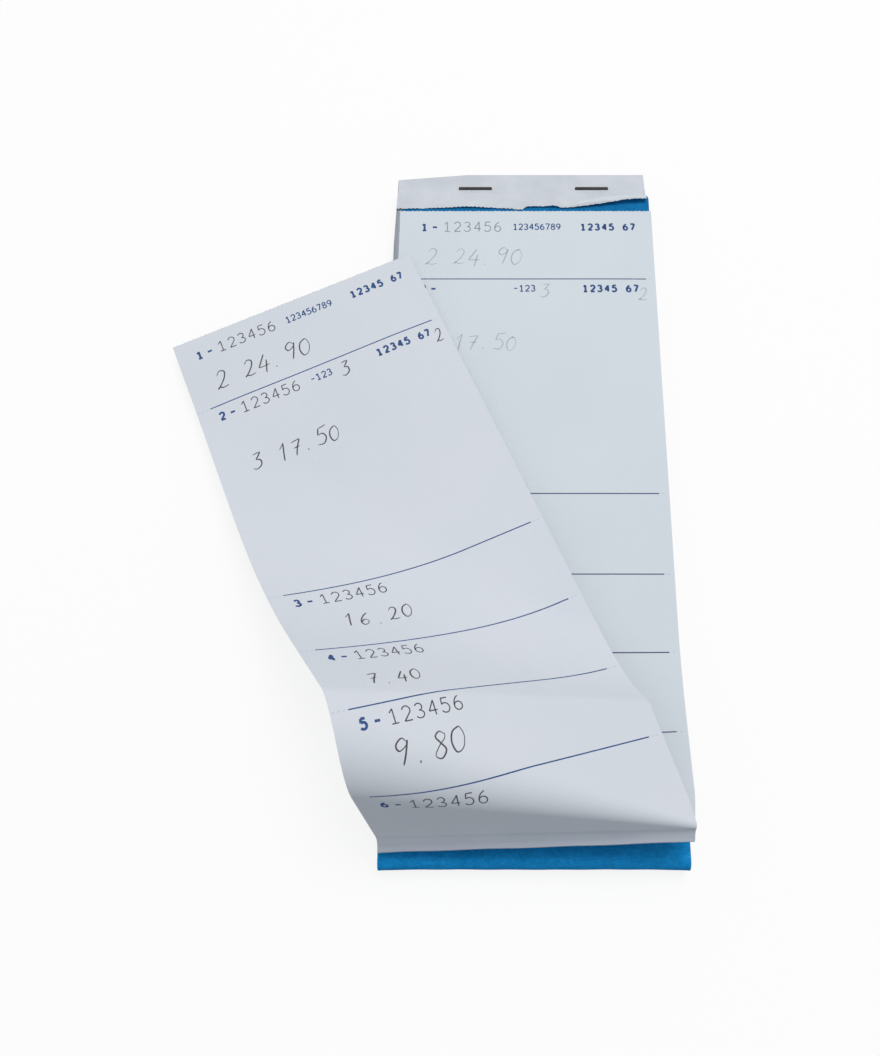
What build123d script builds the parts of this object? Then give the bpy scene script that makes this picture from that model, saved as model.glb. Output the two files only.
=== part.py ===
# Duplicate receipt book: a block of stapled two-leaf sets in a wrap-around card cover.
# The first set is torn off at the perforation, and its top leaf is swung out over the left side.
# The book lies on its back cover. +Y points to the stapled head, +X to the right and +Z up.
# The origin is the centre of the back cover's underside.

import os
from math import cos, radians

from build123d import *

# Cover card
cover_width = 79.0
cover_length = 210.0
card = 0.4
fold_radius = 3.0
crease_land = 0.2
crease_gap = 0.15
flap_margin = 0.5
flap_corner = 1.5

# Leaves
leaf_width = 79.0
stub_length = 14.0
head_trim = 2.0
head_trim_run = 22.0
foot_margin = 3.5
leaf_thickness = 0.07
leaf_air = 0.004
set_count = 50
leaves_per_set = 2
first_whole_set = 2

# How the block lies in the cover: its top leaf is off centre, and the lower ones further to the left.
block_shift = -1.2
block_shear = -1.0
rest_gap = 0.05

# Flat-wire staples
staple_crown = 10.6
staple_left_x = -15.9
staple_right_x = 21.1
staple_from_head = 5.4
staple_clearance = 0.45
wire_width = 0.8
wire_thickness = 0.4
wire_bend = 0.3
clinch_gap = 2.0
slot_clearance = 0.06

# Torn lower edge of the stub: height above the perforation, and where the tear runs up into the stub
tear_low = 0.5
tear_step = 1.7
tear_high = 4.4
tear_start_x = -1.0
tear_step_x = 4.0
tear_flat_x = 12.0
tear_top_x = 33.0
stub_ramp = 1.7
copy_stub_inset = 0.3

# Bends of the torn set, from the foot: start on the left and right edge, end on the left and right edge, angle.
# The foot edge is cut a little out of square. It stands up off the flap, most at its right corner, and both
# leaves hold together there. The loose leaf then rises, rolls over, creases and sweeps out to the left. The
# places are those on a leaf of bend_width and go with the leaf's width. On the left edge, the sweep leaves the
# leaf flat at its head.
bend_width = 79.0
foot_skew = 1.0
foot_bend = (6.0, 32.0, 22.0, 60.0, 20.0)
rise_bend = (1.0, 2.0, 3.0, 4.0, 89.5)
roll_bend = (28.0, 4.5, 54.0, 6.5, -85.5)
crease_bend = (54.5, 35.5, 57.5, 38.5, -34.5)
sweep_start = (78.5, 38.5)
sweep_right_end = 62.0
sweep_angle = 51.0
head_flat = 19.0
foot_folds = 8
rise_folds = 10
roll_folds = 16
crease_folds = 8
sweep_folds = 12
foot_gap = 0.2

# Places worked out from the sizes above
head_y = cover_length / 2
outer_foot_y = -cover_length / 2
perforation_y = head_y - stub_length
leaf_foot_y = outer_foot_y + foot_margin
slip_length = perforation_y - leaf_foot_y
bend_scale = leaf_width / bend_width
sweep_bend = (*sweep_start, (slip_length - head_flat) / bend_scale, sweep_right_end, sweep_angle)
crease_y = outer_foot_y + fold_radius + crease_land
leaf_pitch = leaf_thickness + leaf_air
block_base = card + leaf_air
whole_sets = set_count - first_whole_set + 1
block_top = block_base + whole_sets * leaves_per_set * leaf_pitch
flap_bottom = block_top + rest_gap
flap_top = flap_bottom + card
staple_y = head_y - staple_from_head
ramp_foot_y = staple_y - wire_width / 2 - staple_clearance
flap_head_y = ramp_foot_y - stub_ramp - rest_gap
copy_z = flap_top + rest_gap
clinch_z = wire_thickness / 2
crown_seat = block_top + leaves_per_set * leaf_pitch
crown_z = crown_seat + leaf_air + wire_thickness / 2
leg_offset = staple_crown / 2 - wire_thickness / 2
slot_x = wire_thickness + 2 * slot_clearance
slot_y = wire_width + 2 * slot_clearance
leg_places = [
    (centre + side * leg_offset, staple_y)
    for centre in (staple_left_x, staple_right_x)
    for side in (-1, 1)
]

os.makedirs("parts", exist_ok=True)


def head_corner(left_x, mode):
    """The left corner at the head, which is trimmed off every leaf, drawn in the current sketch."""
    corner = [(left_x, head_y), (left_x, head_y - head_trim), (left_x + head_trim_run, head_y)]
    Polygon(*corner, align=None, mode=mode)


def leaf_outline(x_shift):
    """One whole leaf with its stub, drawn in the current sketch, with a slot for each staple leg."""
    with Locations((x_shift, (head_y + leaf_foot_y) / 2)):
        Rectangle(leaf_width, head_y - leaf_foot_y)
    head_corner(x_shift - leaf_width / 2, Mode.SUBTRACT)
    with Locations(*leg_places):
        Rectangle(slot_x, slot_y, mode=Mode.SUBTRACT)


def fold_lines(bend, count):
    """Share a bend out over evenly spaced straight fold lines: left end, right end and angle of each."""
    left_start, right_start, left_end, right_end = [place * bend_scale for place in bend[:4]]
    angle = bend[4] / count
    shares = [(line + 0.5) / count for line in range(count)]
    return [
        (left_start + share * (left_end - left_start), right_start + share * (right_end - right_start), angle)
        for share in shares
    ]


def folded(folds):
    """Places of the flat strips between the fold lines, from the foot on: each is turned from the one before."""
    places = [Location((0, 0, 0))]
    for left, right, angle in folds:
        line = Plane((0, left, 0), x_dir=(leaf_width, right - left, 0), z_dir=(0, 0, 1)).location
        places.append(places[-1] * line * Location((0, 0, 0), (angle, 0, 0)) * line.inverse())
    return places


def leaf_sections(folds, foot_place):
    """Thin sections of a folded leaf at its foot, on each fold line and at its head: plane, length, thickness.

    On a fold line the section stands on the half angle between the two strips, which keeps the paper's
    thickness.
    """
    places = [foot_place * place for place in folded(folds)]
    ends = [(0, foot_skew, 0)] + folds + [(slip_length, slip_length, 0)]
    strips = list(zip([places[0]] + places, places + [places[-1]]))
    sections = []
    for (left, right, angle), (before, after) in zip(ends, strips):
        left_end = (before * Pos(0, left, 0)).position
        right_end = (before * Pos(leaf_width, right, 0)).position
        up = Plane(before).z_dir + Plane(after).z_dir
        across = right_end - left_end
        plane = Plane((left_end + right_end) / 2, x_dir=across, z_dir=across.cross(up))
        sections.append((plane, across.length, leaf_thickness / cos(radians(angle / 2))))
    return sections


# Back panel of the cover, slotted where the staple ends are pressed into it
clinch_length = leg_offset + wire_thickness / 2 - clinch_gap / 2
clinch_centre = clinch_gap / 2 + clinch_length / 2
clinch_places = [
    (centre + side * clinch_centre, staple_y)
    for centre in (staple_left_x, staple_right_x)
    for side in (-1, 1)
]
with BuildPart() as cover_back:
    with BuildSketch(Plane.XY):
        with Locations((0, (head_y + crease_y) / 2)):
            Rectangle(cover_width, head_y - crease_y)
        with Locations(*clinch_places):
            Rectangle(clinch_length + 2 * slot_clearance, slot_y, mode=Mode.SUBTRACT)
    extrude(amount=card)
cover_back.part.label = "cover_back"
export_step(cover_back.part, "parts/cover_back.step")

# Foot strip of the cover, a rounded fold round the foot of the block
with BuildPart() as cover_foot:
    with BuildSketch(Plane.YZ.offset(-cover_width / 2)):
        with BuildLine():
            FilletPolyline(
                (crease_y, card / 2),
                (outer_foot_y + card / 2, card / 2),
                (outer_foot_y + card / 2, flap_top - card / 2),
                (crease_y, flap_top - card / 2),
                radius=fold_radius - card / 2,
            )
        trace(line_width=card)
    extrude(amount=cover_width)
cover_foot.part.label = "cover_foot"
export_step(cover_foot.part, "parts/cover_foot.step")

# Writing flap of the cover, tucked under the stub of the first set
with BuildPart() as cover_flap:
    with BuildSketch(Plane.XY.offset(flap_bottom)):
        with Locations((0, (crease_y + crease_gap + flap_head_y) / 2)):
            Rectangle(cover_width - 2 * flap_margin, flap_head_y - crease_y - crease_gap)
    extrude(amount=card)
    fillet(cover_flap.edges().filter_by(Axis.Z).group_by(Axis.Y)[-1], radius=flap_corner)
cover_flap.part.label = "cover_flap"
export_step(cover_flap.part, "parts/cover_flap.step")

# Whole sets below the flap, from the top one down, each an original and its duplicate
for place in range(whole_sets):
    name = f"set_{first_whole_set + place:02d}"
    shift = block_shift + block_shear * place / max(whole_sets - 1, 1)
    with BuildPart() as leaf_set:
        for leaf in range(leaves_per_set):
            leaf_z = block_top - (place * leaves_per_set + leaf + 1) * leaf_pitch
            with BuildSketch(Plane.XY.offset(leaf_z)):
                leaf_outline(shift)
            extrude(amount=leaf_thickness)
    leaf_set.part.label = name
    export_step(leaf_set.part, f"parts/{name}.step")


# Stubs of the torn set: flat under the staples, then over the head edge of the flap to the tear
def torn_stub(name, level, inset):
    """A stub that lies on the block under the staples and on the flap beyond them, with its torn edge."""
    left_x = block_shift - leaf_width / 2
    right_x = block_shift + leaf_width / 2
    low_z = block_top + level * leaf_pitch + leaf_thickness / 2
    high_z = flap_top + rest_gap + level * leaf_pitch + leaf_thickness / 2
    with BuildPart() as stub:
        with BuildSketch(Plane.YZ.offset(left_x)):
            with BuildLine():
                FilletPolyline(
                    (head_y, low_z),
                    (ramp_foot_y, low_z),
                    (flap_head_y + rest_gap, high_z),
                    (perforation_y + inset, high_z),
                    radius=leaf_thickness,
                )
            trace(line_width=leaf_thickness)
        extrude(amount=leaf_width)
        with BuildSketch(Plane.XY):
            with Locations(*leg_places):
                Rectangle(slot_x, slot_y)
            head_corner(left_x, Mode.ADD)
        extrude(amount=flap_top + card, mode=Mode.SUBTRACT)
        with BuildSketch(Plane.XY):
            with BuildLine():
                Polyline(
                    (left_x, perforation_y),
                    (left_x, perforation_y + tear_low + inset),
                    (tear_start_x, perforation_y + tear_low + inset),
                    (tear_step_x, perforation_y + tear_step + inset),
                    (tear_flat_x, perforation_y + tear_step + inset),
                    (tear_top_x, perforation_y + tear_high + inset),
                    (right_x, perforation_y + tear_high + inset),
                    (right_x, perforation_y),
                    close=True,
                )
            make_face()
        extrude(amount=flap_top + card, mode=Mode.SUBTRACT)
    stub.part.label = name
    export_step(stub.part, f"parts/{name}.step")


torn_stub("duplicate_stub", 0, copy_stub_inset)
torn_stub("original_stub", 1, 0.0)


# Staples of flat wire: a crown on the stub, two legs through the block and ends bent in under the back panel
def staple(name, centre_x):
    """A staple bent from one wire, standing across the head with its crown on the top stub."""
    with BuildPart() as wire:
        with BuildSketch(Plane.XZ.offset(-staple_y)):
            with BuildLine():
                FilletPolyline(
                    (centre_x - clinch_gap / 2, clinch_z),
                    (centre_x - leg_offset, clinch_z),
                    (centre_x - leg_offset, crown_z),
                    (centre_x + leg_offset, crown_z),
                    (centre_x + leg_offset, clinch_z),
                    (centre_x + clinch_gap / 2, clinch_z),
                    radius=wire_bend,
                )
            trace(line_width=wire_thickness)
        extrude(amount=wire_width / 2, both=True)
    wire.part.label = name
    export_step(wire.part, f"parts/{name}.step")


staple("staple_left", staple_left_x)
staple("staple_right", staple_right_x)

# Copy of the torn set, in place on the flap with its foot drawn up
copy_lines = fold_lines(foot_bend, foot_folds)
flat_place = Pos(-leaf_width / 2, leaf_foot_y, copy_z)
foot_place = flat_place * folded(copy_lines)[-1].inverse()
with BuildPart() as duplicate_leaf:
    for plane, length, thickness in leaf_sections(copy_lines, foot_place):
        with BuildSketch(plane):
            Rectangle(length, thickness, align=(Align.CENTER, Align.MIN))
    loft(ruled=True)
duplicate_leaf.part.label = "duplicate_leaf"
export_step(duplicate_leaf.part, "parts/duplicate_leaf.step")

# Loose top leaf of the torn set, rising from the foot, rolling over and sweeping out to the left
loose_lines = (
    fold_lines(rise_bend, rise_folds)
    + fold_lines(roll_bend, roll_folds)
    + fold_lines(crease_bend, crease_folds)
    + fold_lines(sweep_bend, sweep_folds)
)
loose_place = foot_place * Pos(0, 0, leaf_thickness + foot_gap)
with BuildPart() as original_leaf:
    for plane, length, thickness in leaf_sections(loose_lines, loose_place):
        with BuildSketch(plane):
            Rectangle(length, thickness, align=(Align.CENTER, Align.MIN))
    loft(ruled=True)
original_leaf.part.label = "original_leaf"
export_step(original_leaf.part, "parts/original_leaf.step")

print("block top", round(block_top, 3), "flap top", round(flap_top, 3), "crown", round(crown_z, 3))
foot_edge = (loose_place * Pos(leaf_width, foot_skew, 0)).position - loose_place.position
print("foot hinge", loose_place.position, "along", foot_edge.normalized())
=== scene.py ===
"""Looks of the duplicate receipt book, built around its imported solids.

Lengths are millimetres in the book's own frame and become metres when a mesh is made. A place on a leaf is given
as (across from its left edge, along from its foot).
"""

import math

import bpy
import numpy as np
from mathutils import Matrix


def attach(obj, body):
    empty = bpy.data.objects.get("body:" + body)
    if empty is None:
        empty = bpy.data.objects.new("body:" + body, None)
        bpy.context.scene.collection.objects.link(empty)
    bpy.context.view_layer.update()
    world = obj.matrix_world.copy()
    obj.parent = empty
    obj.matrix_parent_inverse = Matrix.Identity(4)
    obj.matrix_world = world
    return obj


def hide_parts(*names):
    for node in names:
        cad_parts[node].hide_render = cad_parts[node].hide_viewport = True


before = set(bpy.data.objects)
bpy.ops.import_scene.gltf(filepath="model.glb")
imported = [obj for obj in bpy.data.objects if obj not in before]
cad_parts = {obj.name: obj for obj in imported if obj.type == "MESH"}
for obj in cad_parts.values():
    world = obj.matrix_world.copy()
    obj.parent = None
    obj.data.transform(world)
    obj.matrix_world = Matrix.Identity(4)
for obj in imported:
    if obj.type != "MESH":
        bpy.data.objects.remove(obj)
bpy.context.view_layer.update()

MM = 0.001

# Sizes of the book, as in its solids
flap_half_width = 39.0
card = 0.4
fold_radius = 3.0
outer_foot_y = -105.0
crease_y = -101.8
crease_gap = 0.15
flap_top = 8.106
flap_head_y = 97.0
head_y = 105.0
perforation_y = 91.0
staple_y = 99.6
leaf_foot_y = -101.5
leaf_width = 79.0
slip_length = 192.5
paper = 0.07
leaf_pitch = 0.074
block_top = 7.656
block_shift = -1.2
block_shear = -1.0
whole_sets = 49
leaf_air = 0.004
rest_gap = 0.05
head_trim = 2.0
head_trim_run = 22.0
stub_ramp = 1.7
copy_stub_inset = 0.3

# Sizes of the looks alone: the foot strip is a little narrower than its solid, and the stubs draw in at the head
foot_half_width = 39.2
head_draw = 0.5

# Bends of the torn set: start on the left and right edge, end on the left and right edge, angle.
# They are those of the solids, apart from a rounder rise at the foot.
copy_z = 8.156
foot_gap = 0.2
foot_skew = 1.0
foot_bend = (6.0, 32.0, 22.0, 60.0, 20.0)
rise_bend = (0.0, 1.0, 4.6, 4.2, 89.5)
roll_bend = (28.0, 4.5, 54.0, 6.5, -85.5)
crease_bend = (54.5, 35.5, 57.5, 38.5, -34.5)
sweep_bend = (78.5, 38.5, 173.5, 62.0, 51.0)

# Fold lines in each bend
foot_folds = 36
rise_folds = 20
roll_folds = 48
crease_folds = 24
sweep_folds = 48

# Unevenness of the torn set's leaves, and the lengths along a leaf over which it fades
swell_foot_fade = 30
swell_head_fade = 15
ripple_height = 0.35
ripple_fade = 9
draw_left_fade = 110
draw_right_fade = 12
slide_start = 50
slide_run = 140

# Torn perforation
tooth_pitch = 1.3
tooth_depth = 0.32

# Printed form: the rules that part the coupons, and the middle of the row of figures on each coupon.
# The copy was printed by itself, and its rules lie a little off those of the leaf above it.
rule_places = (167.5, 96.5, 72.5, 50.5, 28.5)
copy_rule_places = (167.3, 96.7, 73.0, 51.2, 29.2)
rule_start = 4.5
rule_end = 75.3
row_places = (186.4, 164.0, 92.9, 68.8, 46.9, 24.5)
serial_number = "123456"
ink_lift = 0.02
cut_lift = 0.01

# Columns of the form across the leaf, and how far marks and headings sit below the middle of their row
mark_across = 6.3
dash_across = (9.6, 10.9)
serial_across = 13.1
fine_across = 34.8
heading_across = 56.0
mark_drop = 0.2
heading_drop = 0.1

# Widths of the strokes
mark_stroke = 0.64
heading_stroke = 0.62
fine_stroke = 0.36
rule_stroke = 0.32
serial_stroke = 0.31
pen_stroke = 0.31
cut_stroke = 0.14

# Pen rows: figures, their start across the leaf, their middle along it, their height and pitch
pen_rows = (
    ("3", 43.4, 163.4, 4.8, 4.0),
    ("2", 73.2, 162.4, 4.8, 4.0),
    ("2 24.90", 8.0, 175.4, 5.6, 4.4),
    ("3 17.50", 9.5, 145.4, 5.2, 3.9),
    ("16.20", 15.5, 83.2, 4.8, 3.9),
    ("7.40", 11.5, 58.4, 4.4, 3.6),
    ("9.80", 11.5, 38.8, 6.2, 4.4),
)


# Folded leaves

def fold_lines(bend, count):
    """Even fold lines of one bend, as rows of (left end, right end, angle): both ends run evenly from start to end."""
    left_start, right_start, left_end, right_end, angle = bend
    share = (np.arange(count) + 0.5) / count
    left = left_start + share * (left_end - left_start)
    right = right_start + share * (right_end - right_start)
    return np.stack([left, right, np.full(count, math.radians(angle) / count)], axis=1)


def turned(axis, angle, start=(0.0, 0.0, 0.0)):
    """Turn about a line through start, as a matrix: I + sin K + (1 - cos) K K, with K the axis as a cross product."""
    x, y, z = np.array(axis) / np.linalg.norm(axis)
    cross = np.array([[0, -z, y], [z, 0, -x], [-y, x, 0]])
    matrix = np.eye(4)
    matrix[:3, :3] += math.sin(angle) * cross + (1 - math.cos(angle)) * cross @ cross
    matrix[:3, 3] = start - matrix[:3, :3] @ start
    return matrix


def moved(x, y, z):
    """Plain shift by (x, y, z) as a matrix."""
    matrix = np.eye(4)
    matrix[:3, 3] = (x, y, z)
    return matrix


def folded(lines, foot_place):
    """Places of the flat strips between the fold lines: each is the strip before it, turned about the line between."""
    places = [foot_place]
    for left, right, angle in lines:
        places.append(places[-1] @ turned((leaf_width, right - left, 0), angle, (0, left, 0)))
    return np.array(places)


def leaf_form(lines, foot_place, swell=0.0, ripple=0.0, draw_in=0.0, head_in=0.0):
    """A leaf: its fold lines, the places of the strips between them, and how uneven its paper and its edges are."""
    places = folded(lines, foot_place)
    return {"lines": lines, "places": places, "swell": swell, "ripple": ripple, "draw_in": draw_in, "head_in": head_in}


def on_leaf(leaf, across, along, lift):
    """Points of a folded leaf: the strip that a flat point lies in carries it, raised along the strip's normal.

    Paper isn't dead flat: two slow crossing waves swell it by up to leaf["swell"], dying out at its four edges, and its
    foot edge ripples. Its side edges draw in towards the foot, evenly on the left and over the last stretch on
    the right. Towards the head it slides to the left, by leaf["head_in"] at its right edge and by about a third of
    that over the rest of its width.
    """
    lines = leaf["lines"]
    folds = lines[:, 0] + (lines[:, 1] - lines[:, 0]) * across[..., None] / leaf_width
    place = leaf["places"][(along[..., None] > folds).sum(-1)]
    waves = 0.5 + 0.25 * np.sin(along / 13 + across / 31) + 0.25 * np.sin(across / 11 - along / 37)
    share = across / leaf_width
    inside = np.clip(6 * share * (1 - share), 0, 1) * np.clip(along / swell_foot_fade, 0, 1)
    inside = inside * np.clip((slip_length - along) / swell_head_fade, 0, 1)
    ripple = ripple_height * np.sin(across / 5.2) * np.sin(across / 8.7 + 1)
    ripple = ripple * np.clip(1 - along / ripple_fade, 0, 1) ** 2
    left_in = leaf["draw_in"] * np.clip(1 - along / draw_left_fade, 0, 1) * (1 - share)
    right_in = leaf["draw_in"] * np.clip(1 - along / draw_right_fade, 0, 1) * share
    slide = leaf["head_in"] * np.clip((along - slide_start) / slide_run, 0, 1)
    right_in = right_in + slide * (0.35 * np.clip(share / 0.7, 0, 1) + 0.65 * share**24 + 0.35 * (1 - share) ** 2)
    height = lift + leaf["swell"] * waves * inside + leaf["ripple"] * ripple
    flat = np.stack([across + left_in - right_in, along, height], -1)
    return np.einsum("...ij,...j->...i", place[..., :3, :3], flat) + place[..., :3, 3]


def sheet_mesh(name, top, bottom, flat):
    """Closed thin sheet from two equal grids of points with a rim round their border; its flat place is its UV."""
    rows, columns = top.shape[:2]
    count = rows * columns
    grid = np.arange(count).reshape(rows, columns)
    upper = np.stack([grid[:-1, :-1], grid[:-1, 1:], grid[1:, 1:], grid[1:, :-1]], -1).reshape(-1, 4)
    border = np.concatenate([grid[0, :-1], grid[:-1, -1], grid[-1, :0:-1], grid[:0:-1, 0]])
    after = np.roll(border, -1)
    rim = np.stack([border, border + count, after + count, after], -1)
    faces = np.vstack([upper, upper[:, ::-1] + count, rim])
    points = np.vstack([top.reshape(-1, 3), bottom.reshape(-1, 3)]) * MM
    mesh = bpy.data.meshes.new(name)
    mesh.from_pydata(points.tolist(), [], faces.tolist())
    uv = np.vstack([flat.reshape(-1, 2)] * 2)[faces.ravel()] * MM
    mesh.uv_layers.new(name="flat").data.foreach_set("uv", uv.ravel())
    mesh.polygons.foreach_set("use_smooth", np.ones(len(faces), dtype=bool))
    on_rim = np.zeros(2 * count, dtype=bool)
    on_rim[border] = True
    on_rim[border + count] = True
    ends = np.empty(2 * len(mesh.edges), dtype=np.int32)
    mesh.edges.foreach_get("vertices", ends)
    sharp = on_rim[ends].reshape(-1, 2).all(1)
    mesh.attributes.new("sharp_edge", "BOOLEAN", "EDGE").data.foreach_set("value", sharp)
    mesh.update()
    return mesh


def add_piece(mesh, finish, body, stands_for=()):
    """Put a finished mesh into the scene as a piece on one of the book's bodies."""
    mesh.materials.append(finish)
    piece = bpy.data.objects.new(mesh.name, mesh)
    bpy.context.scene.collection.objects.link(piece)
    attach(piece, body)
    if stands_for:
        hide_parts(*stands_for)


def leaf_grid(name, leaf, across, along):
    """Top and underside of a leaf over the same flat grid, one paper thickness apart."""
    flat = np.stack([across, along], -1)
    return sheet_mesh(name, on_leaf(leaf, across, along, paper), on_leaf(leaf, across, along, 0.0), flat)


def leaf_sheet(name, leaf, columns, step):
    """The leaf up to its torn head: straight rows from edge to edge along its foot, each fold line and its head.

    Where two of these lie more than a step apart, even rows stand between them.
    """
    head = slip_length - tooth_depth
    ends = np.vstack([[[0, foot_skew]], leaf["lines"][:, :2], [[head, head]]])
    counts = np.maximum(np.ceil(np.abs(np.diff(ends, axis=0)).max(1) / step).astype(int), 1)
    before = np.repeat(np.arange(len(counts)), counts)
    share = np.concatenate([np.arange(count) / count for count in counts])[:, None]
    rows = np.vstack([ends[before] + share * (ends[before + 1] - ends[before]), ends[-1:]])
    across = np.broadcast_to(np.linspace(0, leaf_width, columns), (len(rows), columns))
    along = rows[:, :1] + (rows[:, 1:] - rows[:, :1]) * across / leaf_width
    return leaf_grid(name, leaf, across, along)


def teeth(across):
    """Torn perforation: a saw of paper bridges, each a little longer or shorter than its neighbour."""
    saw = np.abs((across / tooth_pitch) % 1.0 - 0.5) * 2
    return tooth_depth * saw * (0.65 + 0.35 * np.sin(across * 1.7) * np.sin(across * 0.43 + 1))


def leaf_fringe(name, leaf):
    """The torn bridges along a leaf's head edge: a narrow strip whose outer edge follows the teeth."""
    columns = 317
    across = np.broadcast_to(np.linspace(0, leaf_width, columns), (2, columns))
    along = slip_length - tooth_depth + teeth(across) * np.array([[0.0], [1.0]])
    return leaf_grid(name, leaf, across, along)


# Ink

def arc(x, y, reach_x, reach_y, start, end):
    """Part of an ellipse round (x, y), from one angle to another in degrees."""
    angle = np.radians(np.linspace(start, end, 28))
    return np.stack([x + reach_x * np.cos(angle), y + reach_y * np.sin(angle)], -1)


def drawn(*points):
    """A pen's line through its points: between two of them, the cubic with each end's slope along its neighbours."""
    points = np.array(points, dtype=float)
    before = np.vstack([2 * points[:1] - points[1:2], points, 2 * points[-1:] - points[-2:-1]])
    share = np.linspace(0, 1, 8, endpoint=False)[:, None, None]
    start, end = before[1:-2], before[2:-1]
    slope_start, slope_end = (before[2:-1] - before[:-3]) / 2, (before[3:] - before[1:-2]) / 2
    curve = (
        (2 * share**3 - 3 * share**2 + 1) * start + (share**3 - 2 * share**2 + share) * slope_start
        + (3 * share**2 - 2 * share**3) * end + (share**3 - share**2) * slope_end
    )
    return np.vstack([curve.transpose(1, 0, 2).reshape(-1, 2), points[-1:]])


# Typed figures and a hand's figures, as strokes in a box one unit high
typed_strokes = {
    "1": [[(0.06, 0.76), (0.3, 1.0)], [(0.3, 1.0), (0.3, 0.0)], [(0.06, 0.0), (0.54, 0.0)]],
    "2": [np.vstack([arc(0.3, 0.71, 0.27, 0.29, 165, -35), [(0.04, 0.0)]]), [(0.04, 0.0), (0.58, 0.0)]],
    "3": [arc(0.27, 0.76, 0.24, 0.24, 155, -90), arc(0.27, 0.26, 0.29, 0.26, 90, -155)],
    "4": [[(0.44, 0.0), (0.44, 1.0)], [(0.44, 1.0), (0.02, 0.32)], [(0.02, 0.32), (0.6, 0.32)]],
    "5": [[(0.54, 1.0), (0.12, 1.0)], [(0.12, 1.0), (0.08, 0.58)], arc(0.27, 0.33, 0.3, 0.33, 130, -150)],
    "6": [arc(0.3, 0.29, 0.27, 0.29, 0, 360), arc(0.6, 0.33, 0.57, 0.67, 180, 108)],
    "7": [[(0.02, 1.0), (0.58, 1.0)], [(0.58, 1.0), (0.22, 0.0)]],
    "8": [arc(0.3, 0.76, 0.22, 0.24, -90, 270), arc(0.3, 0.26, 0.27, 0.26, 90, 450)],
    "9": [arc(0.3, 0.71, 0.27, 0.29, 0, 360), arc(0.0, 0.67, 0.57, 0.67, 0, -72)],
    "-": [[(0.05, 0.48), (0.5, 0.48)]],
    " ": [],
}
hand_strokes = {
    "0": [drawn((0.38, 0.97), (0.1, 0.8), (0.02, 0.4), (0.2, 0.02), (0.47, 0.14), (0.56, 0.58), (0.4, 0.94),
                (0.24, 0.9))],
    "1": [drawn((0.08, 0.7), (0.22, 0.86), (0.32, 1.0)), drawn((0.32, 1.0), (0.28, 0.5), (0.26, 0.0))],
    "2": [drawn((0.08, 0.76), (0.24, 0.98), (0.48, 0.86), (0.42, 0.5), (0.12, 0.08), (0.04, 0.04), (0.14, 0.12),
                (0.34, 0.03), (0.62, 0.08))],
    "3": [drawn((0.1, 0.93), (0.3, 0.97), (0.52, 0.98)), drawn((0.52, 0.98), (0.38, 0.76), (0.24, 0.58)),
          drawn((0.24, 0.58), (0.48, 0.5), (0.52, 0.18), (0.26, -0.02), (0.02, 0.08))],
    "4": [drawn((0.36, 1.0), (0.18, 0.64), (0.02, 0.34)), drawn((0.02, 0.34), (0.3, 0.33), (0.6, 0.36)),
          drawn((0.46, 0.66), (0.42, 0.3), (0.38, -0.06))],
    "5": [drawn((0.18, 0.97), (0.14, 0.78), (0.1, 0.58)),
          drawn((0.1, 0.58), (0.34, 0.62), (0.52, 0.36), (0.38, 0.04), (0.02, 0.06)),
          drawn((0.18, 0.96), (0.38, 0.98), (0.6, 1.02))],
    "6": [drawn((0.5, 0.98), (0.22, 0.72), (0.06, 0.32), (0.2, 0.01), (0.46, 0.1), (0.48, 0.36), (0.26, 0.44),
                (0.09, 0.26))],
    "7": [drawn((0.04, 0.9), (0.28, 0.94), (0.58, 0.97)), drawn((0.58, 0.97), (0.38, 0.5), (0.26, 0.0)),
          [(0.14, 0.5), (0.54, 0.53)]],
    "8": [drawn((0.5, 0.84), (0.3, 0.99), (0.12, 0.82), (0.3, 0.56), (0.5, 0.28), (0.32, 0.01), (0.08, 0.16),
                (0.24, 0.46), (0.48, 0.7), (0.5, 0.9))],
    "9": [drawn((0.5, 0.8), (0.3, 0.98), (0.07, 0.76), (0.2, 0.52), (0.46, 0.66), (0.53, 0.88), (0.46, 0.4),
                (0.36, -0.04))],
    ".": [drawn((0.2, 0.04), (0.23, 0.02), (0.22, -0.05))],
    " ": [],
}


def typed(text, across, along, height, pitch):
    """Strokes of a row of typed figures that starts at across, with its middle at along."""
    return [
        np.asarray(stroke) * height + (across + place * pitch, along - height / 2)
        for place, mark in enumerate(text)
        for stroke in typed_strokes[mark]
    ]


def written(text, across, along, height, pitch):
    """Strokes of a row of handwritten figures: they lean, and each is a little larger or higher than the one before."""
    strokes = []
    for place, mark in enumerate(text):
        size = height * (1 + 0.08 * math.sin(2.3 * place + across))
        rise = 0.07 * height * math.sin(1.7 * place + along)
        lean = np.array([[1.0, 0.0], [0.16, 1.0]])
        for stroke in hand_strokes[mark]:
            strokes.append(np.asarray(stroke) @ lean * size + (across + place * pitch, along - height / 2 + rise))
    return strokes


def ribbon(stroke, width, hand):
    """Left and right edge of a stroke cut to short even runs.

    A hand's stroke swells by a third going down, thins going up, and is drawn out to a point at both ends.
    """
    stroke = np.asarray(stroke, dtype=float)
    run = np.concatenate([[0], np.cumsum(np.linalg.norm(np.diff(stroke, axis=0), axis=1))])
    stops = np.linspace(0, run[-1], max(int(run[-1] / 0.3), 2) + 1)
    line = np.stack([np.interp(stops, run, stroke[:, 0]), np.interp(stops, run, stroke[:, 1])], -1)
    way = np.gradient(line, axis=0)
    way /= np.linalg.norm(way, axis=1, keepdims=True)
    if hand:
        taper = np.clip(0.45 + np.minimum(stops, run[-1] - stops) / 0.9, 0, 1)
        width = width * (1 - 0.33 * way[:, 1:]) * taper[:, None]
    side = np.stack([-way[:, 1], way[:, 0]], -1) * width / 2
    return line + side, line - side


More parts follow.
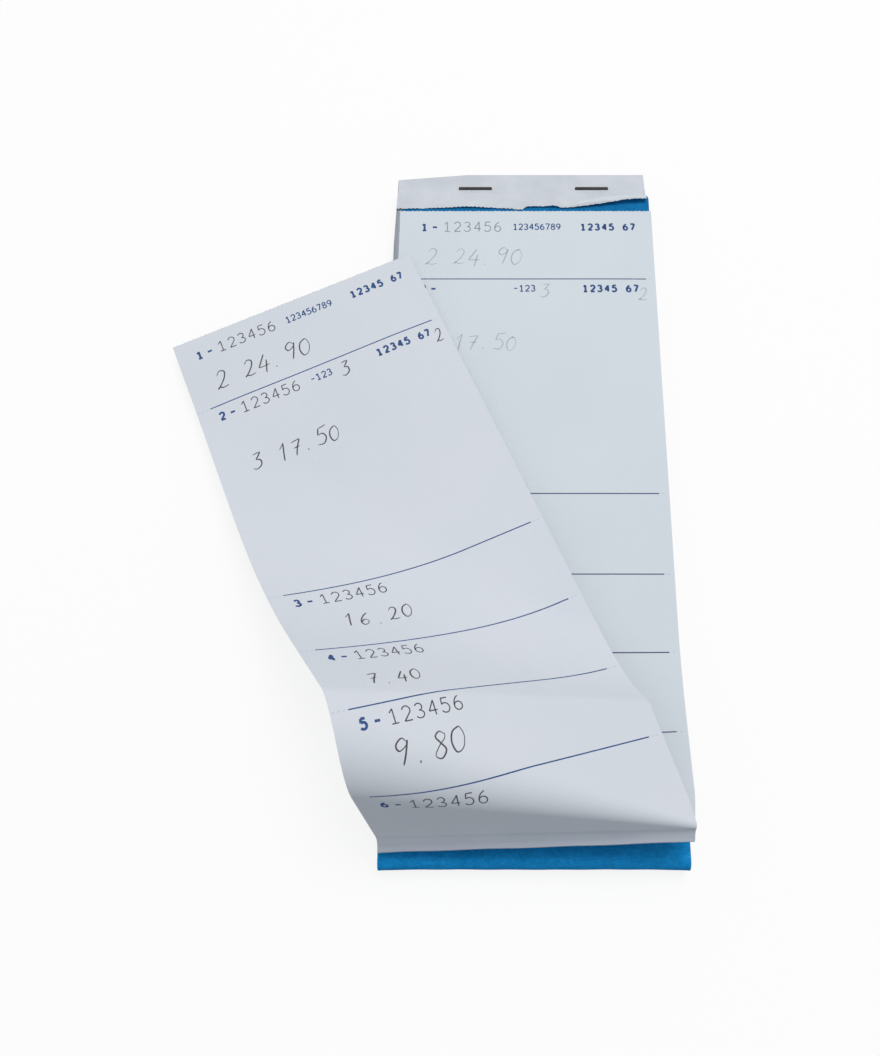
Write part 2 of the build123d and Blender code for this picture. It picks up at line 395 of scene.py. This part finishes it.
def ink_mesh(name, leaf, groups, lift=ink_lift, hand=False):
    """Ink on a leaf: flat ribbons along strokes, just off the paper. groups holds pairs of strokes and their width."""
    edges = [ribbon(stroke, width, hand) for strokes, width in groups for stroke in strokes]
    flat = np.vstack([np.stack(pair, 1).reshape(-1, 2) for pair in edges])
    points = on_leaf(leaf, flat[:, 0], flat[:, 1], paper + lift)
    last = np.cumsum([len(left) for left, right in edges]) - 1
    first = np.setdiff1d(np.arange(len(flat) // 2), last) * 2
    faces = np.stack([first, first + 1, first + 3, first + 2], -1)
    mesh = bpy.data.meshes.new(name)
    mesh.from_pydata((points * MM).tolist(), [], faces.tolist())
    mesh.update()
    return mesh


def perforation_strokes(places):
    """Short dashes right across the leaf at each place: the cuts of a perforated line."""
    starts = np.arange(0.3, leaf_width - tooth_pitch, tooth_pitch)
    return [[(start, place), (start + 0.55 * tooth_pitch, place)] for place in places for start in starts]


def printed_form(name, leaf, body, inks, rules, cuts, serial_rows, shift):
    """The form on one slip: rules, row marks, row numbers and headings in figures, and the cuts of its perforations.

    The print sits off its place by shift across the leaf. The cuts lie under it.
    """
    marks, serials = [], []
    for row, place in enumerate(row_places):
        marks += typed(str(row + 1), mark_across + shift, place - mark_drop, height=2.4, pitch=2.0)
        marks += [[(across + shift, place - mark_drop) for across in dash_across]]
        if row in serial_rows:
            serials += typed(serial_number, serial_across + shift, place, height=3.5, pitch=3.15)
    headings = []
    for place in row_places[:2]:
        headings += typed("12345 67", heading_across + shift, place - heading_drop, height=2.2, pitch=2.2)
    fine_headings = typed("123456789", fine_across + shift, row_places[0], height=2.1, pitch=1.68)
    fine_headings += typed("-123", fine_across + shift, row_places[1], height=2.1, pitch=1.75)
    lines = [[(rule_start + shift, place), (rule_end + shift, place)] for place in rules]
    figures = [(marks, mark_stroke), (headings, heading_stroke), (fine_headings, fine_stroke)]
    dashes = [(perforation_strokes(cuts), cut_stroke)]
    add_piece(ink_mesh(f"{name}_print", leaf, figures), inks["print"], body)
    add_piece(ink_mesh(f"{name}_rules", leaf, [(lines, rule_stroke)]), inks["rule"], body)
    add_piece(ink_mesh(f"{name}_serial", leaf, [(serials, serial_stroke)]), inks["serial"], body)
    add_piece(ink_mesh(f"{name}_cuts", leaf, dashes, cut_lift), inks["cut"], body)


def pen_notes(name, leaf, body, ink):
    """What was written on the set: an amount on each coupon and two single figures."""
    notes = [stroke for row in pen_rows for stroke in written(*row)]
    add_piece(ink_mesh(f"{name}_pen", leaf, [(notes, pen_stroke)], hand=True), ink, body)


# Finishes

relief_depth = 0.05 * MM


def grain_group():
    """Stock grain: broad clouds mix two shades, and fine stretched fibres add to the shade and give the height."""
    group = bpy.data.node_groups.new("stock_grain", "ShaderNodeTree")
    inputs = (
        ("Shade", "NodeSocketColor"), ("Cloud Shade", "NodeSocketColor"), ("Cloud Scale", "NodeSocketFloat"),
        ("Fibre Scale", "NodeSocketFloat"), ("Stretch", "NodeSocketVector"), ("Fibre", "NodeSocketFloat"),
    )
    for label, kind in inputs:
        group.interface.new_socket(label, in_out="INPUT", socket_type=kind)
    group.interface.new_socket("Colour", in_out="OUTPUT", socket_type="NodeSocketColor")
    group.interface.new_socket("Height", in_out="OUTPUT", socket_type="NodeSocketFloat")
    nodes, link = group.nodes, group.links.new
    given = nodes.new("NodeGroupInput")
    result = nodes.new("NodeGroupOutput")
    place = nodes.new("ShaderNodeTexCoord")
    stretched = nodes.new("ShaderNodeVectorMath")
    stretched.operation = "MULTIPLY"
    link(place.outputs["Object"], stretched.inputs[0])
    link(given.outputs["Stretch"], stretched.inputs[1])
    cloud = nodes.new("ShaderNodeTexNoise")
    cloud.inputs["Detail"].default_value = 4.0
    link(place.outputs["Object"], cloud.inputs["Vector"])
    link(given.outputs["Cloud Scale"], cloud.inputs["Scale"])
    fibre = nodes.new("ShaderNodeTexNoise")
    fibre.inputs["Detail"].default_value = 6.0
    fibre.inputs["Roughness"].default_value = 0.65
    link(stretched.outputs["Vector"], fibre.inputs["Vector"])
    link(given.outputs["Fibre Scale"], fibre.inputs["Scale"])
    clouds = nodes.new("ShaderNodeMapRange")
    clouds.inputs["From Min"].default_value = 0.35
    clouds.inputs["From Max"].default_value = 0.65
    link(cloud.outputs["Fac"], clouds.inputs["Value"])
    shades = nodes.new("ShaderNodeMix")
    shades.data_type = "RGBA"
    link(clouds.outputs["Result"], shades.inputs["Factor"])
    link(given.outputs["Shade"], shades.inputs["A"])
    link(given.outputs["Cloud Shade"], shades.inputs["B"])
    swing = nodes.new("ShaderNodeMath")
    swing.operation = "SUBTRACT"
    swing.inputs[1].default_value = 0.5
    link(fibre.outputs["Fac"], swing.inputs[0])
    gain = nodes.new("ShaderNodeMath")
    gain.operation = "MULTIPLY_ADD"
    gain.inputs[2].default_value = 1.0
    link(swing.outputs["Value"], gain.inputs[0])
    link(given.outputs["Fibre"], gain.inputs[1])
    colour = nodes.new("ShaderNodeVectorMath")
    colour.operation = "SCALE"
    link(shades.outputs["Result"], colour.inputs[0])
    link(gain.outputs["Value"], colour.inputs["Scale"])
    link(colour.outputs["Vector"], result.inputs["Colour"])
    link(fibre.outputs["Fac"], result.inputs["Height"])
    return group


stock_grain = grain_group()


def stock(name, shade, cloud_shade, clouds, fibres, fibre, rough, bump, stretch=(1, 1, 1), gloss=0.2, metal=0.0):
    """A finish of the book: the stock grain gives its colour and a fine bump, the rest is set on the shader.

    clouds and fibres are the scales of the grain, and fibre is how strongly the fibres show in the shade.
    """
    finish = bpy.data.materials.new(name)
    finish.use_nodes = True
    nodes, link = finish.node_tree.nodes, finish.node_tree.links.new
    shader = nodes["Principled BSDF"]
    shader.inputs["Roughness"].default_value = rough
    shader.inputs["Specular IOR Level"].default_value = gloss
    shader.inputs["Metallic"].default_value = metal
    grain = nodes.new("ShaderNodeGroup")
    grain.node_tree = stock_grain
    grain.inputs["Shade"].default_value = (*shade, 1)
    grain.inputs["Cloud Shade"].default_value = (*cloud_shade, 1)
    grain.inputs["Cloud Scale"].default_value = clouds
    grain.inputs["Fibre Scale"].default_value = fibres
    grain.inputs["Stretch"].default_value = stretch
    grain.inputs["Fibre"].default_value = fibre
    relief = nodes.new("ShaderNodeBump")
    relief.inputs["Strength"].default_value = bump
    relief.inputs["Distance"].default_value = relief_depth
    link(grain.outputs["Height"], relief.inputs["Height"])
    link(grain.outputs["Colour"], shader.inputs["Base Color"])
    link(relief.outputs["Normal"], shader.inputs["Normal"])
    return finish


def ink_finish(name, shade, cloud_shade, clouds=500, fibre=0.5, rough=0.7):
    """A finish of ink: the paper's fine fibres break up its shade."""
    return stock(name, shade, cloud_shade, clouds=clouds, fibres=5000, fibre=fibre, rough=rough, bump=0.1)


def painted_edge_tone(finish, source, axis, painted_at, unpainted_at, shade):
    """Paint light or shade along an edge by multiplying a finish's colour by a shade: in full at painted_at, evenly
    less to not at all at unpainted_at.
    """
    nodes, link = finish.node_tree.nodes, finish.node_tree.links.new
    shader = nodes["Principled BSDF"]
    unpainted_colour = shader.inputs["Base Color"].links[0].from_socket
    place = nodes.new("ShaderNodeTexCoord")
    split = nodes.new("ShaderNodeSeparateXYZ")
    link(place.outputs[source], split.inputs["Vector"])
    reach = nodes.new("ShaderNodeMapRange")
    reach.inputs["From Min"].default_value = painted_at * MM
    reach.inputs["From Max"].default_value = unpainted_at * MM
    reach.inputs["To Min"].default_value = 1.0
    reach.inputs["To Max"].default_value = 0.0
    link(split.outputs[axis], reach.inputs["Value"])
    painted_mix = nodes.new("ShaderNodeMix")
    painted_mix.data_type = "RGBA"
    painted_mix.blend_type = "MULTIPLY"
    painted_mix.inputs["B"].default_value = (*shade, 1)
    link(reach.outputs["Result"], painted_mix.inputs["Factor"])
    link(unpainted_colour, painted_mix.inputs["A"])
    link(painted_mix.outputs["Result"], shader.inputs["Base Color"])
    return finish


def painted_left_shade(finish):
    """Painted shade: grey the left edge of the block, standing in for the shade on its left side."""
    return painted_edge_tone(finish, "Object", "X", painted_at=-40.2, unpainted_at=-38.6, shade=(0.47, 0.49, 0.52))


def painted_foot_shade(finish):
    """Painted shade: grey the foot edge of a leaf, standing in for the shade on its steep lip."""
    return painted_edge_tone(finish, "UV", "Y", painted_at=2.0, unpainted_at=5.6, shade=(0.6, 0.62, 0.65))


def painted_foot_light(finish):
    """Painted light: pale the card towards its fold at the foot, making up for the loose leaf's shadow there."""
    return painted_edge_tone(finish, "Object", "Y", painted_at=-101.0, unpainted_at=-92.0, shade=(1.6, 1.54, 1.5))


# The leaf paper carries painted shade along its foot edge.
leaf_paper = painted_foot_shade(stock(
    "leaf_paper", (0.71, 0.745, 0.805), (0.69, 0.73, 0.795), clouds=35, fibres=1600, fibre=0.06, rough=0.8, bump=0.25,
))
# The stub's clouds are partly painted shade of soft wrinkles and partly the paper's uneven tone.
stub_paper = stock(
    "stub_paper", (0.66, 0.695, 0.75), (0.6, 0.635, 0.69), clouds=140, fibres=1600, fibre=0.08, rough=0.8, bump=0.3,
)
# Pale finish of the painted highlight on the stub's crease.
painted_highlight = stock(
    "painted_highlight", (0.76, 0.79, 0.83), (0.68, 0.71, 0.76), clouds=400, fibres=2500, fibre=0.3, rough=0.85, bump=0.3,
)
copy_paper = stock(
    "copy_paper", (0.695, 0.75, 0.805), (0.67, 0.73, 0.79), clouds=35, fibres=1600, fibre=0.06, rough=0.8, bump=0.25,
)
# The block paper carries painted shade along its left edge.
block_paper = painted_left_shade(stock(
    "block_paper", (0.70, 0.735, 0.78), (0.64, 0.68, 0.73), clouds=60, fibres=1500, fibre=0.22, rough=0.85, bump=0.2,
    stretch=(0.3, 0.3, 8),
))
# The cover card carries painted light towards its foot fold.
cover_card = painted_foot_light(stock(
    "cover_card", (0.0068, 0.181, 0.438), (0.0037, 0.156, 0.386), clouds=260, fibres=900, fibre=1.0, rough=0.85,
    bump=0.6, stretch=(1, 1.6, 1), gloss=0.1,
))
staple_wire = stock(
    "staple_wire", (0.04, 0.036, 0.036), (0.02, 0.018, 0.018), clouds=300, fibres=4000, fibre=0.5, rough=0.5,
    bump=0.4, stretch=(0.1, 1, 1), gloss=0.3, metal=0.4,
)
print_blue = ink_finish("print_blue", (0.032, 0.08, 0.235), (0.045, 0.105, 0.28))
rule_blue = ink_finish("rule_blue", (0.05, 0.082, 0.19), (0.07, 0.105, 0.225))
serial_grey = ink_finish("serial_grey", (0.085, 0.09, 0.105), (0.12, 0.125, 0.14))
pen_dark = ink_finish("pen_dark", (0.08, 0.07, 0.085), (0.12, 0.11, 0.125), clouds=300)
cut_grey = ink_finish("cut_grey", (0.52, 0.56, 0.63), (0.48, 0.52, 0.6), fibre=0.3, rough=0.8)
copy_serial = ink_finish("copy_serial", (0.26, 0.29, 0.33), (0.33, 0.36, 0.4))
copy_pen = ink_finish("copy_pen", (0.43, 0.47, 0.52), (0.52, 0.57, 0.62), clouds=300, fibre=0.4)


# The torn set

copy_lines = fold_lines(foot_bend, foot_folds)
loose_lines = np.vstack([
    fold_lines(rise_bend, rise_folds), fold_lines(roll_bend, roll_folds),
    fold_lines(crease_bend, crease_folds), fold_lines(sweep_bend, sweep_folds),
])
flat_place = moved(-leaf_width / 2, leaf_foot_y, copy_z)
foot_place = flat_place @ np.linalg.inv(folded(copy_lines, np.eye(4))[-1])
loose_place = foot_place @ moved(0, 0, paper + foot_gap)
copy_leaf = leaf_form(copy_lines, foot_place, swell=0.08, ripple=1.0, draw_in=1.3)
loose_leaf = leaf_form(loose_lines, loose_place, swell=0.5, ripple=1.0, draw_in=1.3, head_in=3.2)
copy_inks = {"print": print_blue, "rule": rule_blue, "serial": copy_serial, "cut": cut_grey}
leaf_inks = {"print": print_blue, "rule": print_blue, "serial": serial_grey, "cut": cut_grey}
first_row = (0,)
all_rows = range(len(row_places))

copy_sheet = leaf_sheet("copy_sheet", copy_leaf, columns=30, step=3.0)
add_piece(copy_sheet, copy_paper, "duplicate", ["duplicate_leaf"])
add_piece(leaf_fringe("copy_head_teeth", copy_leaf), copy_paper, "duplicate")
printed_form(
    "copy", copy_leaf, "duplicate", copy_inks, copy_rule_places, copy_rule_places, first_row, shift=0.8,
)
pen_notes("copy", copy_leaf, "duplicate", copy_pen)
loose_sheet = leaf_sheet("loose_sheet", loose_leaf, columns=40, step=2.5)
add_piece(loose_sheet, leaf_paper, "original", ["original_leaf"])
add_piece(leaf_fringe("loose_head_teeth", loose_leaf), leaf_paper, "original")
printed_form("loose", loose_leaf, "original", leaf_inks, rule_places, rule_places, all_rows, shift=-0.3)
pen_notes("loose", loose_leaf, "original", pen_dark)

# The first whole set, which the flap covers, still has its stub and the perforation below it
block_lean = turned((0, 0, 1), math.atan2(-block_shift, head_y - leaf_foot_y))
second_set = leaf_form(np.empty((0, 3)), moved(-leaf_width / 2, leaf_foot_y, block_top - leaf_pitch) @ block_lean)
second_cuts = (slip_length, *rule_places)
printed_form("second_set", second_set, "book", leaf_inks, rule_places, second_cuts, all_rows, shift=0.0)


# Stubs of the torn set: the tear, the crease of the bent end, and how the paper curls and crumples

tear_x = (-40.7, -30.0, -17.8, -6.0, -2.4, -1.4, -0.8, 0.2, 9.6, 11.0, 12.5, 17.6, 24.0, 32.3, 38.3)
tear_rise = (0.4, 0.6, 1.05, 0.5, 0.25, 0.18, 0.25, 1.15, 1.3, 0.85, 0.75, 1.2, 1.95, 3.1, 3.3)
stub_left = block_shift - leaf_width / 2
staple_hold = 1.2
crease_start = 13
crease_run = 6
crease_climb = 2.3
crease_slope = 0.5
# Width and ends of the painted highlight on the crease
highlight_width = 0.6
highlight_ends = (16.5, 36.5)
curl_left = 0.25
curl_right = 0.9
curl_start = 4
curl_run = 26
curl_wave = 0.12
crumple_height = 0.16
crumple_middle = 0.1
limit_slope = 0.55
limit_drop = 0.1


def stub_tear(x, inset):
    """The tear across a stub: it follows tear_x and tear_rise, toothed on the left and finely ragged on the right."""
    rough = np.clip((x + 2) / 5, 0, 1)
    ragged = 0.08 * np.sin(x * 0.9) * np.sin(x * 2.3 + 1) + 0.03 * np.sin(x * 6.1)
    tear_y = perforation_y + inset + np.interp(x, tear_x, tear_rise) + ragged * rough
    return tear_y + teeth(x - stub_left) * (1 - 0.7 * rough)


def stub_crease(x, tear_y):
    """The crease of the bent end: it leaves the tear and climbs to run along it."""
    return tear_y + crease_climb * np.clip((x - crease_start) / crease_run, 0, 1)


def stub_height(x, y, tear_y, level):
    """Underside of a stub: flat under the staples, up over the flap's head edge in a half wave and on to the tear.

    The loose end curls up with the square of its distance from the flap's edge. On the right it is bent up along a
    crease. Crossing waves crumple the paper, most in the middle. Nothing rises by more than about half its distance
    from the perforation, so that the copy can be turned over the head.
    """
    over = np.clip((flap_head_y + rest_gap + stub_ramp - y) / stub_ramp, 0, 1)
    step = 0.5 - 0.5 * np.cos(np.pi * over)
    loose = np.clip((flap_head_y + 0.5 - y) / (flap_head_y - perforation_y), 0, 1) ** 2
    to_right = np.clip((x - curl_start) / curl_run, 0, 1)
    lift = loose * (curl_left + curl_right * to_right + curl_wave * np.sin(x / 4))
    lift = lift + crease_slope * np.clip(stub_crease(x, tear_y) - y, 0, None)
    crumple = np.sin(x / 1.9 + y / 2.7) * np.sin(x / 3.1 - y / 1.6)
    crumple = crumple + 0.6 * np.sin(x / 1.3 - y) * np.sin(x / 4.3 + y / 3)
    free = np.clip((staple_y - staple_hold - y) / 2, 0, 1)
    lift = lift + (crumple_height + crumple_middle * np.exp(-((x + 1) / 7) ** 2)) * (1 + crumple) * free
    lift = np.clip(lift, 0, np.clip(limit_slope * (y - perforation_y) - limit_drop, 0, None))
    return block_top + level * leaf_pitch + (flap_top + rest_gap - block_top) * step + lift


def stub_grid(name, x, y, under, over):
    """Thin sheet over places on a stub, between two heights. Both sides draw in evenly from the tear to the head."""
    to_middle = 1 - 2 * (x - stub_left) / leaf_width
    to_head = np.clip((y - perforation_y) / (head_y - perforation_y), 0, 1)
    inward = head_draw * to_middle * to_head
    flat = np.stack([x - stub_left, y - leaf_foot_y], -1)
    return sheet_mesh(name, np.stack([x + inward, y, over], -1), np.stack([x + inward, y, under], -1), flat)


def stub_sheet(name, level, inset):
    """A stub: even rows from the tear to the head, whose left corner is trimmed off."""
    rows, columns = 61, 400
    x = np.broadcast_to(np.linspace(stub_left, stub_left + leaf_width, columns), (rows, columns))
    tear_y = stub_tear(x, inset)
    cut_y = head_y - head_trim * np.clip(1 - (x - stub_left) / head_trim_run, 0, 1)
    y = tear_y + (cut_y - tear_y) * np.linspace(0, 1, rows)[:, None]
    height = stub_height(x, y, tear_y, level)
    return stub_grid(name, x, y, height, height + paper)


def crease_highlight_strip(name):
    """Painted highlight along the top stub's crease: a pale strip that swells from a thin end to its width and back."""
    rows, columns = 5, 81
    x = np.broadcast_to(np.linspace(*highlight_ends, columns), (rows, columns))
    tear_y = stub_tear(x, 0.0)
    width = highlight_width * np.sin(np.pi * np.linspace(0.02, 0.98, columns)) ** 0.7
    y = stub_crease(x, tear_y) + width * np.linspace(-0.5, 0.5, rows)[:, None]
    height = stub_height(x, y, tear_y, 1) + paper
    return stub_grid(name, x, y, height + cut_lift, height + ink_lift)


add_piece(stub_sheet("copy_stub_sheet", 0, copy_stub_inset), copy_paper, "book", ["duplicate_stub"])
add_piece(stub_sheet("top_stub_sheet", 1, 0.0), stub_paper, "book", ["original_stub"])
# Painted highlight along the top stub's crease.
add_piece(crease_highlight_strip("top_stub_crease_highlight"), painted_highlight, "book")


# Whole sets of the block: places of their sides and how much of the block's shear they take, by share of the length

set_shuffle = 0.06
side_share = np.array([[0.0], [0.3], [0.6], [0.9], [1.0]])
side_left = np.array([[-38.9], [-40.0], [-40.9], [-41.0], [-40.4]])
side_right = np.array([[38.9], [38.7], [38.5], [38.2], [37.8]])
side_lean = np.array([[0.0], [0.3], [0.7], [1.0], [0.6]])


def block_set(name, place):
    """A whole set, two leaves thick: its sides run through side_left and side_right and lean left, the lower sets more.

    Its left corner at the head is trimmed off. Each set sits up to a tenth of a millimetre off the one above.
    """
    across = np.broadcast_to([0.0, head_trim_run, leaf_width], (len(side_share), 3))
    lean = side_lean * block_shear * place / (whole_sets - 1) + set_shuffle * math.sin(2.4 * place)
    x = side_left + (side_right - side_left) * across / leaf_width + lean
    cut_y = head_y - head_trim * np.clip(1 - across / head_trim_run, 0, 1)
    y = leaf_foot_y + (cut_y - leaf_foot_y) * side_share
    top_z = block_top - 2 * place * leaf_pitch - leaf_air
    top = np.stack([x, y, np.full_like(x, top_z)], -1)
    bottom = np.stack([x, y, np.full_like(x, top_z + leaf_air - 2 * leaf_pitch)], -1)
    return sheet_mesh(name, top, bottom, np.stack([across, y - leaf_foot_y], -1))


for place in range(whole_sets):
    node = f"set_{place + 2:02d}"
    add_piece(block_set(f"{node}_sheets", place), block_paper, "book", [node])


# Cover

fold_steps = 15
wall_steps = 5
strip_columns = 161
strip_length = 20
dent_depth = 0.12
bow_depth = 0.22
flap_touch = 0.01


def foot_fold(name):
    """Foot strip of the cover: an outline of line, arc, line, arc and line carried across the book.

    The card sits in a little between its corners, is pressed in by a tenth of a millimetre in soft dents, and its
    inner side follows one card's thickness behind. It narrows to the flap's width and reaches the flap's edge at the
    crease.
    """
    centre_y = outer_foot_y + fold_radius
    lower_turn = np.radians(np.linspace(270, 180, fold_steps))
    upper_turn = np.radians(np.linspace(180, 90, fold_steps))
    upper_z = flap_top - fold_radius
    wall_z = np.linspace(fold_radius, upper_z, wall_steps + 2)[1:-1]
    wall = np.stack([np.full(wall_steps, outer_foot_y), wall_z], -1)
    path = np.vstack([
        [(crease_y, 0.0)],
        np.stack([centre_y + fold_radius * np.cos(lower_turn), fold_radius + fold_radius * np.sin(lower_turn)], -1),
        wall,
        np.stack([centre_y + fold_radius * np.cos(upper_turn), upper_z + fold_radius * np.sin(upper_turn)], -1),
        [(crease_y + crease_gap - flap_touch, flap_top)],
    ])
    way = np.gradient(path, axis=0)
    way /= np.linalg.norm(way, axis=1, keepdims=True)
    inward = np.stack([way[:, 1], -way[:, 0]], -1)
    side = np.linspace(-1, 1, strip_columns)
    share = np.linspace(0, 1, len(path))[:, None]
    x = side * (foot_half_width + (flap_half_width - foot_half_width) * share)
    round_part = np.sin(np.pi * np.clip((share - 0.03) / 0.94, 0, 1))
    dents = 0.5 + 0.5 * np.sin(x / 5.3 + 3 * share) * np.sin(x / 2.9 - 5 * share + 1)
    bow = 1 - side**12
    press = round_part * (dent_depth * dents + bow_depth * bow)
    outer = path[:, None] + inward[:, None] * press[..., None]
    inner = outer + inward[:, None] * card
    flat = np.stack([x + foot_half_width, np.broadcast_to(share * strip_length, press.shape)], -1)
    top = np.concatenate([x[..., None], outer], -1)
    bottom = np.concatenate([x[..., None], inner], -1)
    return sheet_mesh(name, top[:, ::-1], bottom[:, ::-1], flat[:, ::-1])


add_piece(foot_fold("foot_fold"), cover_card, "book", ["cover_foot"])

for node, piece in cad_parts.items():
    piece.data.materials.clear()
    if node.startswith("cover"):
        piece.data.materials.append(cover_card)
    elif node.startswith("staple"):
        piece.data.materials.append(staple_wire)
    else:
        piece.data.materials.append(block_paper)


# Floor, light and camera, in metres. The camera is the photo's, with its focal length in the photo's pixels.

floor_reach = 3
floor_z = -0.0001
floor_lit_shade = (0.22, 0.22, 0.22, 1)
floor_seen_shade = (0.96, 0.96, 0.96, 1)
floor_white_part = 0.86
room_lit_shade = (0.4, 0.432, 0.46, 1)
room_seen_shade = (1, 1, 1, 1)
lamp_shade = (1.0, 0.95, 0.9)
photo_width = 880
focal_pixels = 957.5
sensor_width = 36.0
camera_shift = -0.0607
camera_place = (-0.01014, -0.10364, 0.25974)
camera_tilt = 19.393


def seen_directly(nodes, link):
    """One for rays from the camera, straight or by way of a mirror or glass, and nought for light that falls on things.

    It is the greatest of the ray's three marks: from the camera, off a mirror, through glass.
    """
    path = nodes.new("ShaderNodeLightPath")
    straight = nodes.new("ShaderNodeMath")
    straight.operation = "MAXIMUM"
    link(path.outputs["Is Camera Ray"], straight.inputs[0])
    link(path.outputs["Is Glossy Ray"], straight.inputs[1])
    either = nodes.new("ShaderNodeMath")
    either.operation = "MAXIMUM"
    link(straight.outputs["Value"], either.inputs[0])
    link(path.outputs["Is Transmission Ray"], either.inputs[1])
    return either.outputs["Value"]


def floor_white():
    """Pale matt floor that is lifted towards pure white where it is seen, so that it keeps a soft shadow."""
    finish = bpy.data.materials.new("floor_white")
    finish.use_nodes = True
    nodes, link = finish.node_tree.nodes, finish.node_tree.links.new
    seen = seen_directly(nodes, link)
    shade = nodes.new("ShaderNodeMix")
    shade.data_type = "RGBA"
    shade.inputs["A"].default_value = floor_lit_shade
    shade.inputs["B"].default_value = floor_seen_shade
    link(seen, shade.inputs["Factor"])
    shader = nodes["Principled BSDF"]
    shader.inputs["Roughness"].default_value = 0.9
    link(shade.outputs["Result"], shader.inputs["Base Color"])
    white = nodes.new("ShaderNodeEmission")
    white.inputs["Strength"].default_value = 1.0
    part = nodes.new("ShaderNodeMath")
    part.operation = "MULTIPLY"
    part.inputs[1].default_value = floor_white_part
    link(seen, part.inputs[0])
    mixed = nodes.new("ShaderNodeMixShader")
    link(part.outputs["Value"], mixed.inputs["Fac"])
    link(shader.outputs["BSDF"], mixed.inputs[1])
    link(white.outputs["Emission"], mixed.inputs[2])
    link(mixed.outputs["Shader"], nodes["Material Output"].inputs["Surface"])
    return finish


floor_mesh = bpy.data.meshes.new("floor")
floor_corners = [(x * floor_reach, y * floor_reach, floor_z) for x, y in ((-1, -1), (1, -1), (1, 1), (-1, 1))]
floor_mesh.from_pydata(floor_corners, [], [(0, 1, 2, 3)])
floor_mesh.materials.append(floor_white())
floor = bpy.data.objects.new("floor", floor_mesh)
bpy.context.scene.collection.objects.link(floor)

room = bpy.data.worlds.new("room")
bpy.context.scene.world = room
room.use_nodes = True
room_nodes, room_link = room.node_tree.nodes, room.node_tree.links.new
room_light = room_nodes["Background"]
room_seen = seen_directly(room_nodes, room_link)
room_colour = room_nodes.new("ShaderNodeMix")
room_colour.data_type = "RGBA"
room_colour.inputs["A"].default_value = room_lit_shade
room_colour.inputs["B"].default_value = room_seen_shade
room_link(room_seen, room_colour.inputs["Factor"])
room_link(room_colour.outputs["Result"], room_light.inputs["Color"])


def soft_lamp(name, place, size, power):
    """Square soft lamp that faces the book."""
    light = bpy.data.lights.new(name, "AREA")
    light.size = size
    light.energy = power
    light.color = lamp_shade
    lamp = bpy.data.objects.new(name, light)
    lamp.location = place
    x, y, z = place
    lamp.rotation_euler = (math.atan2(math.hypot(x, y), z), 0, math.atan2(x, -y))
    bpy.context.scene.collection.objects.link(lamp)


soft_lamp("key_lamp", place=(0.18, 0.33, 1.24), size=0.6, power=9.4)

camera_data = bpy.data.cameras.new("camera")
camera_data.sensor_fit = "HORIZONTAL"
camera_data.sensor_width = sensor_width
camera_data.lens = sensor_width * focal_pixels / photo_width
camera_data.shift_x = camera_shift
camera_data.clip_start = 0.01
camera = bpy.data.objects.new("camera", camera_data)
camera.location = camera_place
camera.rotation_euler = (math.radians(camera_tilt), 0, 0)
bpy.context.scene.collection.objects.link(camera)
bpy.context.scene.camera = camera

bpy.context.scene.view_settings.view_transform = "Standard"
